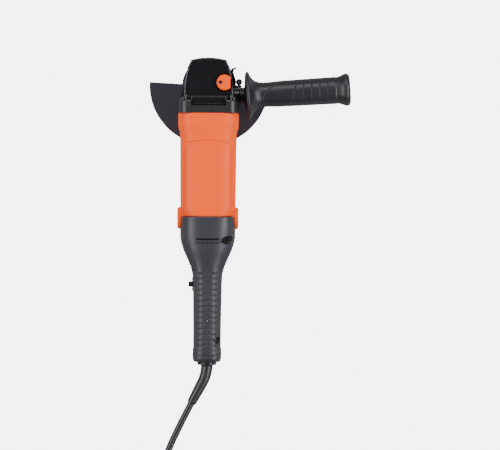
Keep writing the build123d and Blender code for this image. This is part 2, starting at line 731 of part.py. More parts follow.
def route_tube(points, name):
    """Round cord along straight runs joined by the widest arcs that the runs allow."""
    spots = [Vector(*p) for p in points]
    radii = []
    for before, here, after in zip(spots, spots[1:], spots[2:]):
        first, second = here - before, after - here
        half_turn = radians(first.get_angle(second)) / 2
        radii.append(0.45 * min(first.length, second.length) / tan(half_turn))
    path = FilletPolyline(*spots, radius=radii)
    tube = sweep(Plane(origin=spots[0], z_dir=spots[1] - spots[0]) * Circle(CORD_RADIUS), path)
    share = tube.volume / (pi * CORD_RADIUS**2 * path.length)
    print(name, "length", round(path.length, 1), "radii", [round(r) for r in radii], "share", round(share, 4))
    return tube


def cord_coil():
    """Outer shape of the put-away turns: three side by side, two high."""
    x, y = COIL_CENTRE
    low, high = COIL_FLOOR, COIL_FLOOR + COIL_HEIGHT
    return disc(COIL_OUTER, low, high, x, y) - disc(COIL_INNER, low - 1, high + 1, x, y)


def cord_tie():
    """Strap round the coil's turns."""
    x, y = COIL_CENTRE
    low, high = COIL_FLOOR, COIL_FLOOR + COIL_HEIGHT
    inner, outer, half = COIL_INNER, COIL_OUTER, TIE_WIDTH / 2
    strap = block(x + inner - 1.9, x + outer + TIE_GAUGE, y - half, y + half, low - TIE_GAUGE, high + TIE_GAUGE)
    return strap - block(x + inner - 0.7, x + outer + 0.05, y - half - 1, y + half + 1, low, high)


def plug_plane():
    """Plane at the mouth of the plug's sleeve, level, facing along the plug."""
    start, end = Vector(*TAIL_ROUTE[-2]), Vector(*TAIL_ROUTE[-1])
    way = Vector(end.X - start.X, end.Y - start.Y, 0).normalized()
    return Plane(origin=end, x_dir=(0, 0, 1), z_dir=way)


def plug_body():
    plane = plug_plane()
    sleeve = loft(Sketch() + [plane.offset(-2) * Circle(5.4), plane.offset(20) * Circle(7.2)])
    body = extrude(plane.offset(18) * RectangleRounded(24, 34, 8), 34)
    body = fillet(body.edges().filter_by(GeomType.LINE, reverse=True), 2.4)
    return joined(sleeve, body)


def plug_pins():
    plane = plug_plane()
    made = []
    for side in (-9.5, 9.5):
        pin = extrude(plane.offset(46) * Pos(0, side) * Circle(2.4), 25)
        made.append(fillet(pin.edges().filter_by(GeomType.CIRCLE), 1.2))
    return Compound(children=made)


# ---------------------------------------------------------------- resting place
def resting():
    """Turn and lift that stand the tool on the rim's rear edge and the heel of the handle."""
    tilt = degrees(atan2(HEEL_Z - GUARD_RIM_Z, -GUARD_RADIUS - HEEL_Y))
    lift = GUARD_RADIUS * sin(radians(tilt)) - GUARD_RIM_Z * cos(radians(tilt))
    return tilt, lift


TILT, LIFT = resting()
MIDDLE_X = (HANDLE_X + (HANDLE_LENGTH - 9.8) * cos(radians(HANDLE_LEAN)) - GUARD_RADIUS) / 2
MIDDLE_Y = -164.7
PLACE = Pos(-MIDDLE_X, -MIDDLE_Y, LIFT) * Rot(TILT, 0, 0)


def make():
    """Every piece of the tool by name, in the tool's own frame."""
    shell = grip_solid()
    return {
        "gear_case": gear_case(),
        "spindle_lock_button": spindle_lock_button(),
        "lock_pin": lock_pin(),
        "lock_spring": lock_spring(),
        "upper_bush": ring(4 + RUNNING, 7, 10, 18.2),
        "crown_gear": crown_gear(),
        "spindle": spindle(),
        "lower_bearing": Pos(0, 0, -26) * ball_bearing(BEARING_BORE + RUNNING, 16, 10),
        "felt_seal": ring(8.8 + RUNNING, 14, -31, -28),
        "bearing_flange": bearing_flange(),
        "flange_screws": flange_screws(),
        "inner_flange": inner_flange(),
        "outer_nut": outer_nut(),
        "guard_shell": guard_shell(),
        "guard_band": guard_band(),
        "clamp_screw": clamp_screw(),
        "clamp_nut": clamp_nut(),
        "lever_pin": lever_pin(),
        "clamp_lever": clamp_lever(),
        "pinion_gear": pinion_gear(),
        "pinion_nut": Rot(90, 0, 0) * (hexagon(8, 10.8, 13.6) - disc(3, 10, 14)),
        "gear_plate": gear_plate(),
        "case_screws": case_screws(),
        "front_bearing": Pos(0, -25, 0) * Rot(90, 0, 0) * ball_bearing(5 + RUNNING, 13, 8),
        "motor_housing": motor_housing(),
        "air_baffle": air_baffle(),
        "fan": fan(),
        "armature_shaft": armature_shaft(),
        "armature_core": armature_core(),
        "armature_windings": armature_windings(),
        "commutator": commutator(),
        "field_core": field_core(),
        "field_coils": field_coils(),
        "rear_bearing": Pos(0, -166.4, 0) * Rot(90, 0, 0) * ball_bearing(4 + RUNNING, 11, 7),
        "bearing_sleeve": Rot(90, 0, 0) * ring(11, 12.5, 166.4, 173.4),
        "brush_holders": brush_holders(),
        "brushes": brushes(),
        "brush_springs": brush_springs(),
        "brush_caps": brush_caps(),
        "handle_left": handle_half(shell, -1),
        "handle_right": handle_half(shell, 1),
        "handle_screws": handle_screws(),
        "switch_body": switch_body(),
        "trigger": trigger(),
        "trigger_pin": trigger_pin(),
        "trigger_spring": trigger_spring(),
        "lock_on_button": lock_on_button(),
        "lock_on_bezel": lock_on_bezel(),
        "capacitor": capacitor(),
        "cord_clamp": cord_clamp(),
        "clamp_screws": clamp_screws(),
        "side_handle": side_handle(),
        "side_handle_stud": side_handle_stud(),
        "cord_boot": cord_boot(),
    }


def lead():
    """The mains lead's own pieces, in the resting frame."""
    coil, plug = cord_coil(), plug_body()
    pins = plug_pins()
    return {
        "cord_lead": route_tube(LEAD_ROUTE, "lead") - coil,
        "cord_coil": coil,
        "cord_tie": cord_tie(),
        "cord_tail": route_tube(TAIL_ROUTE, "tail") - coil - plug,
        "plug_body": plug - pins,
        "plug_pins": pins,
    }


os.makedirs("parts", exist_ok=True)
pieces = {name: PLACE * shape for name, shape in make().items()}
box = Compound(children=[copy(shape) for shape in pieces.values()]).bounding_box()
print("tilt", TILT, "lift", LIFT, "box without the lead", box)
pieces.update(lead())
for name, shape in pieces.items():
    export_step(shape, f"parts/{name}.step")
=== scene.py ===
# %% [markdown]
# # An angle grinder, finished for rendering
# The frame holds the tool as its designer drew it: every casting, shaft, screw and spring, at its
# real size, resting on the guard's rim and the heel of the handle.  This file gives it its looks.
# Each step says what a piece is on the real tool and why it is made the way it is here.

# %% Load the frame
import bpy
import json
import numpy as np
from mathutils import Matrix


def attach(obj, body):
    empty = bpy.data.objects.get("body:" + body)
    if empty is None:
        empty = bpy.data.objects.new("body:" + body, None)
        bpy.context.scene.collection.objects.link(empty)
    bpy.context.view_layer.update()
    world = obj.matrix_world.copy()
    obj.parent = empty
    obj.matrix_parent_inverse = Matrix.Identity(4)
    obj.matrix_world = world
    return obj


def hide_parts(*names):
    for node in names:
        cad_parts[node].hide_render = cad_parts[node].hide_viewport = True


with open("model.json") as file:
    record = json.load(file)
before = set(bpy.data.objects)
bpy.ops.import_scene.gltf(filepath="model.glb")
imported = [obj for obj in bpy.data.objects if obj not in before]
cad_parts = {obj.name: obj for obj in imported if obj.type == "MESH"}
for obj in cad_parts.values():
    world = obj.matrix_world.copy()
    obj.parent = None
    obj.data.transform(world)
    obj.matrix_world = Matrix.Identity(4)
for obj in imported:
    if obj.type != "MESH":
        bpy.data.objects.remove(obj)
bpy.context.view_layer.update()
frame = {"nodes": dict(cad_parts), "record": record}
record = frame["record"]

# %% [markdown]
# The tool leans nose-up, so its own directions are not those of the floor.  The spindle's joint
# tells both: its place is where the spindle and motor axes cross, and its axis is the tool's "up".
# With those, a piece can be worked out in the tool's own millimetres and then placed.

# %% The tool's own frame
MM = 0.001
spin = next(joint for joint in record["behaviour"]["joints"] if joint["name"] == "spindle_spin")
CENTRE = np.array(spin["pos_m"])
UP = np.array(spin["axis"]) / np.linalg.norm(spin["axis"])
RIGHT = np.array([1.0, 0.0, 0.0])
AHEAD = np.cross(UP, RIGHT)
TOOL = np.column_stack([RIGHT, AHEAD, UP])


def place(points):
    """Points in the tool's millimetres, as points of the row frame in metres."""
    return CENTRE + (np.asarray(points, dtype=float) * MM) @ TOOL.T


# %% [markdown]
# The camera looks straight down on the tool's back from far away through a long lens, so the
# outline is nearly free of perspective.  A fraction of a degree of roll lets the tool lie a little
# askew, as a real one does when it is set down.

# %% Camera
VIEW_CENTRE = (48.2, -160.2)
VIEW_DISTANCE = 6000.0
VIEW_WIDTH = 570.0
VIEW_LEVEL = 15.0
VIEW_ROLL = np.radians(0.4)
camera_data = bpy.data.cameras.new("camera")
camera_data.sensor_width = 36.0
camera_data.lens = camera_data.sensor_width * (VIEW_DISTANCE - VIEW_LEVEL) / VIEW_WIDTH
camera_data.clip_end = 20.0
camera = bpy.data.objects.new("camera", camera_data)
bpy.context.scene.collection.objects.link(camera)
across = RIGHT * np.cos(VIEW_ROLL) + AHEAD * np.sin(VIEW_ROLL)
turned_frame = np.eye(4)
turned_frame[:3, :3] = np.column_stack([across, np.cross(UP, across), UP])
turned_frame[:3, 3] = place((*VIEW_CENTRE, VIEW_DISTANCE))
camera.matrix_world = Matrix(turned_frame.tolist())
bpy.context.scene.camera = camera

# %% [markdown]
# The mains lead is a rubber-covered cord about 8 mm thick.  It leaves the strain relief, drops to
# the floor in a loose bend and runs to a neat coil, three turns side by side and two high, tied
# once.  One spline carries all of it: a few listed points, then the turns by a formula:
# the angle grows evenly while the radius steps in and out again and the height steps up once.
# The bevel is a circle of one metre that each point scales by its own radius, half the lead's
# thickness, so that the curve's own box is as tight as the lead.

# %% Lead
CORD = 0.008
LEAD_ROUTE = [(-56.83, -180.86, 17.69), (-75.61, -215.73, 12.11), (-93.0, -254.0, 5.5), (-104.0, -288.0, 4.6),
              (-106.0, -322.3, 5.4)]
TAIL_ROUTE = [(-50.0, -378.3, 13.4), (-22.0, -379.8, 10.8), (8.0, -384.3, 11.4), (34.0, -392.3, 13.2)]
COIL_CENTRE = (-50.0, -322.3)
COIL_STEP = 22.5
COIL_END = 1890.0
COIL_ANGLES = [0, 310, 360, 670, 720, 1270, 1320, 1630, 1680, COIL_END]
COIL_RADII = [56, 56, 48, 48, 40, 40, 48, 48, 56, 56]
COIL_RISE = [970, 1020]
COIL_LEVELS = [5.4, 13.4]


def coil_points():
    """Turns seen from above, anticlockwise from the left side: radius and height step between rows."""
    turn = np.arange(COIL_STEP, COIL_END, COIL_STEP)
    radius = np.interp(turn, COIL_ANGLES, COIL_RADII)
    angle = np.radians(180 + turn)
    height = np.interp(turn, COIL_RISE, COIL_LEVELS)
    x = COIL_CENTRE[0] + radius * np.cos(angle)
    y = COIL_CENTRE[1] + radius * np.sin(angle)
    return np.column_stack([x, y, height])


def lead_curve():
    """One spline of the second degree through the route, the coil and the tail, with a round bevel."""
    points = np.vstack([LEAD_ROUTE, coil_points(), TAIL_ROUTE]) * MM
    curve = bpy.data.curves.new("mains_lead", "CURVE")
    curve.dimensions = "3D"
    curve.bevel_depth = 1.0
    curve.bevel_resolution = 5
    curve.resolution_u = 6
    curve.use_fill_caps = True
    spline = curve.splines.new("NURBS")
    spline.points.add(len(points) - 1)
    spline.points.foreach_set("co", np.column_stack([points, np.ones(len(points))]).ravel())
    spline.points.foreach_set("radius", np.full(len(points), CORD / 2))
    spline.order_u = 3
    spline.use_endpoint_u = True
    lead = bpy.data.objects.new("mains_lead", curve)
    bpy.context.scene.collection.objects.link(lead)
    steps = np.linalg.norm(np.diff(points, axis=0), axis=1)
    print("lead points", len(points), "length of its runs", round(float(steps.sum()), 3))
    return lead


lead = lead_curve()

# %% [markdown]
# Most new pieces are closed skins: a grid of points, one row for each place along the piece and
# one column for each direction round it.  One maker turns any such grid into a mesh, closes its two
# ends with a fan round a middle point, and turns the faces outwards by the sign of the volume.
# Where a groove is pressed into a skin, a number stored on its points says how deep it is, and the
# finish paints shade there by it: the colour is darkened and the gloss dulled in the groove.

# %% Skins
SHARP_ANGLE = np.radians(38.0)


def outward(points, faces):
    """Volume by the divergence theorem: a sixth of the sum of each triangle's triple product."""
    total = 0.0
    for size in {len(face) for face in faces}:
        corners = points[np.array([face for face in faces if len(face) == size])]
        for k in range(1, size - 1):
            triple = np.cross(corners[:, 0], corners[:, k]) * corners[:, k + 1]
            total += triple.sum()
    return total > 0


def piece(name, points, faces, body="root", slot=None, groove_shade=None):
    """Mesh object from points in the tool's millimetres, riding on a body; the groove depth is 1 deep in a
    groove and sets how much shade is painted there.
    """
    spots = place(points)
    middle = spots.mean(axis=0)
    if not outward(spots - middle, faces):
        faces = [face[::-1] for face in faces]
    mesh = bpy.data.meshes.new(name)
    mesh.from_pydata(spots.tolist(), [], [tuple(int(i) for i in face) for face in faces])
    mesh.polygons.foreach_set("use_smooth", np.ones(len(mesh.polygons), dtype=bool))
    mesh.set_sharp_from_angle(angle=SHARP_ANGLE)
    # The groove depth is stored on the points as painted shade: the finish darkens the colour and dulls the
    # gloss by it.
    if groove_shade is not None:
        depth = np.zeros(len(spots))
        depth[:groove_shade.size] = np.clip(groove_shade, 0, 1).ravel()
        mesh.attributes.new("groove_shade", "FLOAT", "POINT").data.foreach_set("value", depth)
    made = bpy.data.objects.new(name, mesh)
    bpy.context.scene.collection.objects.link(made)
    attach(made, body)
    return made


def grid_faces(rows, columns, first=0):
    """Quads between neighbouring rows, joined round the columns, and a fan at each end."""
    i, j = np.meshgrid(np.arange(rows - 1), np.arange(columns), indexing="ij")
    k = (j + 1) % columns
    here, beyond = i * columns, (i + 1) * columns
    quads = np.stack([here + j, here + k, beyond + k, beyond + j], axis=-1)
    ring = np.arange(columns)
    after = (ring + 1) % columns
    low, high = rows * columns, rows * columns + 1
    last = (rows - 1) * columns
    start = np.column_stack([np.full(columns, low), after, ring])
    end = np.column_stack([np.full(columns, high), last + ring, last + after])
    return (quads.reshape(-1, 4) + first).tolist() + (start + first).tolist() + (end + first).tolist()


def closed_grid(points):
    """Points of a grid with the middles of its two end rows added, and its faces."""
    rows, columns, _ = points.shape
    ends = np.array([points[0].mean(axis=0), points[-1].mean(axis=0)])
    return np.vstack([points.reshape(-1, 3), ends]), grid_faces(rows, columns)


def through(at, stations):
    """Smooth curve through (place, value) pairs: cubic pieces with slopes that never overshoot."""
    spots, values = np.array(sorted(stations), dtype=float).T
    slope = np.diff(values) / np.diff(spots)
    flat = slope[1:] * slope[:-1] <= 0
    total = np.where(flat, 1.0, slope[1:] + slope[:-1])
    inner = np.where(flat, 0.0, 2 * slope[1:] * slope[:-1] / total)
    tangent = np.concatenate([slope[:1], inner, slope[-1:]])
    at = np.clip(at, spots[0], spots[-1])
    k = np.clip(np.searchsorted(spots, at) - 1, 0, len(spots) - 2)
    span = spots[k + 1] - spots[k]
    t = (at - spots[k]) / span
    return ((2 * t**3 - 3 * t**2 + 1) * values[k] + (t**3 - 2 * t**2 + t) * span * tangent[k]
            + (3 * t**2 - 2 * t**3) * values[k + 1] + (t**3 - t**2) * span * tangent[k + 1])


def ease(x):
    """0 below 0, 1 above 1, and a smooth step between."""
    t = np.clip(x, 0, 1)
    return t * t * (3 - 2 * t)


def band(x, low, high, soft):
    """1 between low and high, fading to 0 over the soft width on each side."""
    return ease((x - low) / soft + 0.5) * ease((high - x) / soft + 0.5)


def squared_ring(angle, width, top, bottom, power):
    """Rounded rectangle: the curve |x/width|^p + |z/height|^p = 1, met along each direction."""
    c, s = np.cos(angle), np.sin(angle)
    reach = (np.abs(c) ** power + np.abs(s) ** power) ** (-1 / power)
    height = np.where(s > 0, top, -bottom)
    return width * reach * c, height * reach * s


# %% [markdown]
# The motor housing is one orange moulding.  Its front flares out to meet the gear head, then the
# sides neck in; the back is cut off with rounded corners where the handle halves begin.  A raised
# panel with an arched front edge runs down its back.  All of this is a skin of rounded rectangles,
# with the panel pressed out of it by a smooth step.

# %% Motor housing
HOUSING_WIDTH = [(-33.0, 34.6), (-34.0, 35.2), (-48.8, 35.1), (-52.5, 34.3), (-56.5, 33.15), (-61.5, 32.85),
                 (-100, 32.5),
                 (-139.5, 32.0), (-142, 31.5), (-149.0, 28.4), (-150.6, 27.2), (-151.0, 25.6)]
HOUSING_TOP = [(-33.0, 33.2), (-34.0, 33.9), (-46, 33.9), (-56, 32.9), (-62, 32.4), (-140, 31.8),
               (-147, 31.4),
               (-150.0, 30.6), (-151.0, 29.2)]
HOUSING_POWER = [(-33, 3.9), (-52, 3.9), (-64, 3.5), (-140, 3.4), (-151, 3.4)]
PANEL_HALF = 26.5
PANEL_FRONT = -64.4
PANEL_RISE = 0.55


def housing_grid(rows=190, columns=176):
    """Rounded rectangles along the motor, pushed outwards by the panel's smooth step."""
    y = np.linspace(-33.0, -151.0, rows)
    y = np.sort(np.concatenate([y, [-33.25, -33.5, -150.2, -150.5, -150.8]]))[::-1][:, None]
    angle = np.linspace(0, 2 * np.pi, columns, endpoint=False)[None, :]
    top = through(y, HOUSING_TOP)
    x, z = squared_ring(angle, through(y, HOUSING_WIDTH), top, -top * 0.985, through(y, HOUSING_POWER))
    arch = PANEL_FRONT - 3.0 * (x / 24.0) ** 2
    inside = ease((arch - y) / 0.9 + 0.5) * band(x, -PANEL_HALF, PANEL_HALF, 1.6) * (z > 0)
    seam = -0.35 * np.exp(-((y - arch - 0.5) / 0.8) ** 2) * band(x, -24, 24, 3.0) * (z > 0)
    lines = 0.3 * np.exp(-((np.abs(x) - 27.6) / 0.5) ** 2) * band(y, -149.0, -74.0, 4.0) * (z > 0)
    hollow = -0.4 * np.exp(-((y + 53.5) / 4.5) ** 2)
    push = 1 + (PANEL_RISE * (inside - 1) + seam + hollow - lines) / np.hypot(x, z)
    # The second result is painted shade: it darkens the arch's seam and the two side lines on the panel.
    return np.stack([x * push, y + 0 * x, z * push], axis=-1), 1.1 * lines - 0.8 * seam


housing_points, housing_groove_shade = housing_grid()
housing = piece("motor_housing_skin", *closed_grid(housing_points), slot="orange_shell",
                groove_shade=housing_groove_shade)
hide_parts("motor_housing")
print("housing", len(housing.data.polygons), "faces")

# %% [markdown]
# The rear handle is two dark mouldings that meet on the tool's middle plane.  Each half is the
# same skin of rounded rectangles, closed by its flat joint face.  Ribs, the border of the grip,
# the cooling slots and the wells of the screws are pressed into it, which keeps the skin closed.

# %% Rear handle
GRIP_WIDTH = [(-151.0, 30.6), (-152.2, 31.2), (-168, 31.5), (-175, 31.45), (-182.5, 29.8), (-190, 27.4),
              (-197, 24.2),
              (-204.4, 21.1), (-211.7, 18.5), (-219, 17.0), (-240, 16.4), (-299, 15.8), (-303.5, 16.5),
              (-313.0, 16.3), (-315.8, 15.4), (-317.0, 13.6)]
GRIP_TOP = [(-151.0, 30.2), (-152.2, 30.9), (-175, 30.6), (-182.5, 29.6), (-190, 28.2), (-197, 26.2),
            (-204.4, 24.2),
            (-211.7, 22.6), (-219, 21.6), (-240, 20.6), (-299, 19.8), (-303.5, 20.0), (-313, 19.4),
            (-317.0, 17.2)]
GRIP_BOTTOM = [(-151.0, 30.4), (-152.2, 31.0), (-175, 30.6), (-182.5, 29.4), (-190, 27.6), (-197, 25.8),
               (-204.4, 24.2), (-211.7, 22.8), (-219, 21.8), (-240, 21.0), (-295, 21.0), (-303.5, 22.6),
               (-309.5, 23.7), (-313.0, 23.7), (-316.0, 22.3), (-317.0, 21.0)]
GRIP_POWER = [(-151, 3.0), (-176, 2.8), (-219, 2.6), (-317, 2.7)]
RIB_PITCH = 6.35
SCREW_WELLS = [(-177.5, 24.0, 4.4, 15.0), (-177.5, -25.0, 3.4, 15.0), (-292.0, 14.5, 3.5, 8.0),
               (-292.0, -15.0, 3.4, 8.0)]
JOINT_GAP = 0.12
SPRING_ROOM, SPRING_CEILING, TRIGGER_CEILING = 4.2, 8.0, -3.0


def grip_relief(x, y, z):
    """How far the skin stands out, in millimetres: ribs, border, slots and the lines of the ear pads."""
    grip = band(y, -304.5, -215.5, 3.0) * ease((z + 9) / 3)
    groove = np.exp(-(((y + 215.5) / RIB_PITCH + 0.5) % 1 - 0.5) ** 2 * RIB_PITCH**2 / 0.9)
    groove = groove * band(np.abs(x), 1.0, 12.4, 1.2)
    pads = np.exp(-(np.abs(np.abs(x) - 10.4) / 0.9) ** 2) * (z > 0)
    relief = grip * (-0.55 * groove - 0.22 * pads)
    edge = -304.5 - 6.0 * np.sqrt(np.clip(1 - (x / 15.8) ** 2, 0, 1))
    relief -= 0.55 * np.exp(-((y - edge) / 0.7) ** 2) * (z > -6)
    scallop = np.exp(-((y + 214.6 - 1.6 * np.cos(x * 0.42)) / 0.6) ** 2)
    relief -= 0.45 * scallop * band(np.abs(x), 1.5, 10, 1.5) * (z > 0)
    relief -= 3.0 * band(y, -177.5, -175.9, 0.35) * band(x, -12.9, 12.9, 0.6) * (z > 0)
    relief -= 0.8 * band(y, -181.5, -180.5, 0.4) * band(x, -12.9, 12.9, 0.6) * (z > 0)
    relief -= 0.35 * np.exp(-((np.abs(x) - 25.2) / 0.45) ** 2) * band(y, -176, -151.5, 1.0)
    pad_edge = np.abs(x) - 0.86 * through(y, GRIP_WIDTH)
    relief -= 1.0 * np.exp(-(pad_edge / 0.6) ** 2) * band(y, -213, -176, 1.5)
    relief -= 0.15 * np.exp(-(x / 0.5) ** 2)
    return relief


def handle_grid(side, rows=330, columns=110):
    """One half: directions from straight down to straight up, mirrored by the sign of the side."""
    y = np.linspace(-151.0, -317.0, rows)[:, None]
    angle = np.linspace(-np.pi / 2, np.pi / 2, columns)[None, :]
    x, z = squared_ring(angle, through(y, GRIP_WIDTH), through(y, GRIP_TOP), -through(y, GRIP_BOTTOM),
                        through(y, GRIP_POWER))
    relief = grip_relief(x, y, z)
    push = 1 + relief / np.hypot(x, z)
    x, z = x * push, z * push
    vent = band(y, -207.5, -177.5, 0.8) * band(z, -10.5, 10.5, 0.8)
    x = x - 2.2 * vent
    y = y + 0 * x
    # Painted shade: the deeper the skin is pressed in by ribs, border, slots and pad lines, the darker its
    # colour is painted.
    groove_shade = -relief / 1.3
    # Inside each screw well the painted shade is full, so that the well reads dark.
    for well_y, well_z, radius, seat in (SCREW_WELLS if side > 0 else []):
        away = np.hypot(y - well_y, z - well_z)
        inside = ease((radius - away) / 0.5 + 0.5) * (x > seat)
        groove_shade = np.maximum(groove_shade, ease((radius + 0.7 - away) / 0.4 + 0.5) * (x > seat))
        x = np.where(x > seat, x - (x - seat) * inside, x)
    slot = band(y, -270.6, -221.4, 0.4) * band(x, -20, 8.0, 0.4) * (z < -8)
    ceiling = np.where(x < SPRING_ROOM, SPRING_CEILING, TRIGGER_CEILING)
    z = z + (ceiling - z) * slot
    return np.stack([side * np.maximum(x, JOINT_GAP), y, z], axis=-1), groove_shade


halves = []
for name, side in (("handle_left", -1), ("handle_right", 1)):
    half_grid, half_groove_shade = handle_grid(side)
    half = piece(f"{name}_skin", *closed_grid(half_grid), slot="grip_plastic", groove_shade=half_groove_shade)
    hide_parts(name)
    halves.append(half)
print("handle half", len(halves[0].data.polygons), "faces")


# %% [markdown]
# Cooling air is drawn in at the sides of the handle through black grilles.  Each grille is a
# cushion-shaped patch that follows the handle's side, with five louvre slots pressed into it.

# %% Side grilles
def grille_grid(side, rows=120, columns=90):
    """The handle's side surface over a rectangle, a hair proud, with slots along the tool."""
    y = np.linspace(-207.6, -177.4, rows)[:, None]
    z = np.linspace(-10.6, 10.6, columns)[None, :]
    width, power = through(y, GRIP_WIDTH), through(y, GRIP_POWER)
    high = np.where(z > 0, through(y, GRIP_TOP), through(y, GRIP_BOTTOM))
    x = width * (1 - np.abs(z / high) ** power) ** (1 / power)
    slots = band((z + 2.0) % 4.0, 1.0, 3.0, 0.4) * band(y, -205.5, -179.5, 0.5) * band(z, -9.4, 9.4, 0.3)
    rounded = 0.5 * (1 - band(y, -207.2, -177.8, 0.9) * band(z, -10.2, 10.2, 0.9))
    x = x - 1.9 * slots - rounded
    return np.stack([side * x, y + 0 * x, z + 0 * x], axis=-1)


def slab(points, back):
    """Closed plate from a grid: the same grid set back along x, with its border joined."""
    rows, columns, _ = points.shape
    behind = points.copy()
    behind[..., 0] = back
    index = np.arange(rows * columns).reshape(rows, columns)
    a, b, c, d = index[:-1, :-1], index[:-1, 1:], index[1:, 1:], index[1:, :-1]
    front = np.stack([a, b, c, d], axis=-1).reshape(-1, 4)
    rim = np.concatenate([index[0, :-1], index[:-1, -1], index[-1, :0:-1], index[:0:-1, 0]])
    after = np.roll(rim, -1)
    count = rows * columns
    wall = np.stack([after, rim, rim + count, after + count], axis=-1)
    faces = np.concatenate([front, front[:, ::-1] + count, wall])
    return np.vstack([points.reshape(-1, 3), behind.reshape(-1, 3)]), faces.tolist()


for name, side in (("side_grille_left", -1), ("side_grille_right", 1)):
    piece(name, *slab(grille_grid(side), side * 14.0), slot="handle_plastic")


# %% [markdown]
# Anything turned on a lathe, or moulded round an axis, is a profile carried round a circle.  The
# profile is a short list of (distance along the axis, radius) points, smoothed between corners.

# %% Turned pieces
def spun(axis_point, axis, profile, columns=96, press=0.0):
    """Grid of a profile of (along, radius) carried round an axis; press is added to the radius."""
    axis = np.asarray(axis, dtype=float) / np.linalg.norm(axis)
    helper = np.array([0.0, 0.0, 1.0]) if abs(axis[2]) < 0.9 else np.array([1.0, 0.0, 0.0])
    first = np.cross(helper, axis)
    first /= np.linalg.norm(first)
    second = np.cross(axis, first)
    along, radius = (np.asarray(v, dtype=float)[:, None] for v in np.array(profile).T)
    angle = np.linspace(0, 2 * np.pi, columns, endpoint=False)[None, :]
    radius = radius + press + 0 * angle
    ring = np.cos(angle)[..., None] * first + np.sin(angle)[..., None] * second
    return np.asarray(axis_point) + along[..., None] * axis + radius[..., None] * ring


HANDLE_LEAN = np.radians(3.9)
HANDLE_WAY = np.array([np.cos(HANDLE_LEAN), np.sin(HANDLE_LEAN), 0.0])
HANDLE_ROOT = np.array([45.3, -12.5, 3.0]) - HANDLE_WAY * 9.8 / np.cos(HANDLE_LEAN)
HANDLE_PROFILE = [(0.0, 7.6), (0.5, 8.5), (5.2, 8.5), (6.2, 14), (6.9, 22), (7.7, 26.2), (8.7, 27.3),
                  (9.8, 27.5), (11.2, 26.9),
                  (12.2, 25.0), (14.0, 21.0), (17.0, 17.6), (21.0, 15.3), (26.0, 14.2), (31.0, 14.1),
                  (42.0, 14.7),
                  (70.0, 15.2), (100.0, 15.5), (109.5, 15.6), (111.0, 15.2), (112.5, 15.5), (116.0, 16.6),
                  (119.5, 18.1),
                  (121.6, 18.6), (123.6, 18.3), (125.2, 17.2), (126.3, 15.0), (126.6, 11.0), (126.65, 6.0),
                  (126.7, 1.5)]


def handle_press(along, angle):
    """Panel lines on the handle's upper side, a finger bead, and four shallow fields near the end."""
    top = np.degrees((angle - np.pi / 2 + np.pi) % (2 * np.pi) - np.pi)
    relief = 0 * along
    for start in (73.5, 82.6, 91.8, 101.0):
        relief -= 0.35 * np.exp(-((along - start) / 0.45) ** 2) * band(top, -45, 40, 3)
    relief -= 0.35 * np.exp(-((along - 63.0 + 0.06 * (top + 10)) / 0.45) ** 2) * band(top, -45, 40, 3)
    relief -= 0.35 * np.exp(-((top + 45) / 1.6) ** 2) * band(along, 65.0, 101.0, 0.6)
    relief -= 0.35 * np.exp(-((along - 27.5 - 0.0028 * (top - 25) ** 2) / 0.5) ** 2) * band(top, -70, 40, 4)
    relief -= 0.25 * np.exp(-((np.abs(top) - 178) / 1.2) ** 2) * band(along, 12, 120, 2)
    return relief


fine = np.unique(np.concatenate([np.linspace(0.0, 26.0, 70), np.linspace(26.0, 122.0, 250),
                                 np.linspace(122, 126.7, 40)]))
smooth_profile = np.column_stack([fine, through(fine, HANDLE_PROFILE)])
round_angle = np.linspace(0, 2 * np.pi, 150, endpoint=False)[None, :]
handle_relief = handle_press(fine[:, None] + 0 * round_angle, round_angle + 0 * fine[:, None])
# The pressed panel lines of the side handle carry painted shade, darker the deeper they are.
side_handle = piece("side_handle_skin",
                    *closed_grid(spun(HANDLE_ROOT, HANDLE_WAY, smooth_profile, 150, handle_relief)),
                    slot="handle_plastic", groove_shade=-handle_relief / 0.16)
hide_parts("side_handle")

# %% [markdown]
# The strain relief is a rubber sleeve that follows the lead as it bends: the same turned profile,
# but carried along a bent line instead of a straight axis.

# %% Strain relief
BOOT_START = -317.0
BOOT_RADIUS_OF_BEND = 45.0
BOOT_TURN = 28.0
BOOT_PROFILE = [(-0.02, 3.0), (-0.01, 10.4), (0.6, 11.0), (2.8, 11.0), (3.4, 10.3), (3.6, 7.4), (5.0, 6.8),
                (20.0, 6.5), (38.0, 5.9),
                (49.5, 5.4), (51.0, 4.9), (51.3, 4.1)]


def bent_boot(columns=72):
    """Rings square to a line that turns left on an arc and then runs straight, radius by the profile."""
    collar = [-0.02, -0.01, 0.0, 0.3, 0.6, 2.8, 3.1, 3.4, 3.6]
    along = np.unique(np.concatenate([collar, np.linspace(3.8, 51.3, 150)]))
    radius = np.interp(along, *np.array(BOOT_PROFILE).T)[:, None]
    arc = BOOT_RADIUS_OF_BEND * np.radians(BOOT_TURN)
    bent = np.clip((along - 3.0) / arc, 0, 1) * np.radians(BOOT_TURN)
    beyond = np.clip(along - 3.0 - arc, 0, None)
    x = -BOOT_RADIUS_OF_BEND * (1 - np.cos(bent)) - beyond * np.sin(bent)
    y = BOOT_START - np.minimum(along, 3.0) - BOOT_RADIUS_OF_BEND * np.sin(bent) - beyond * np.cos(bent)
    angle = np.linspace(0, 2 * np.pi, columns, endpoint=False)[None, :]
    side = radius * np.cos(angle)
    return np.stack([x[:, None] + side * np.cos(bent)[:, None], y[:, None] - side * np.sin(bent)[:, None],
                     radius * np.sin(angle)], axis=-1)


boot = piece("strain_relief", *closed_grid(bent_boot()), slot="rubber_black")
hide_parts("cord_boot")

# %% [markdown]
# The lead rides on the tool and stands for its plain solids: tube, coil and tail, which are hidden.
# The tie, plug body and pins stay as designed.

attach(lead, "root")
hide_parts("cord_lead", "cord_coil", "cord_tail")

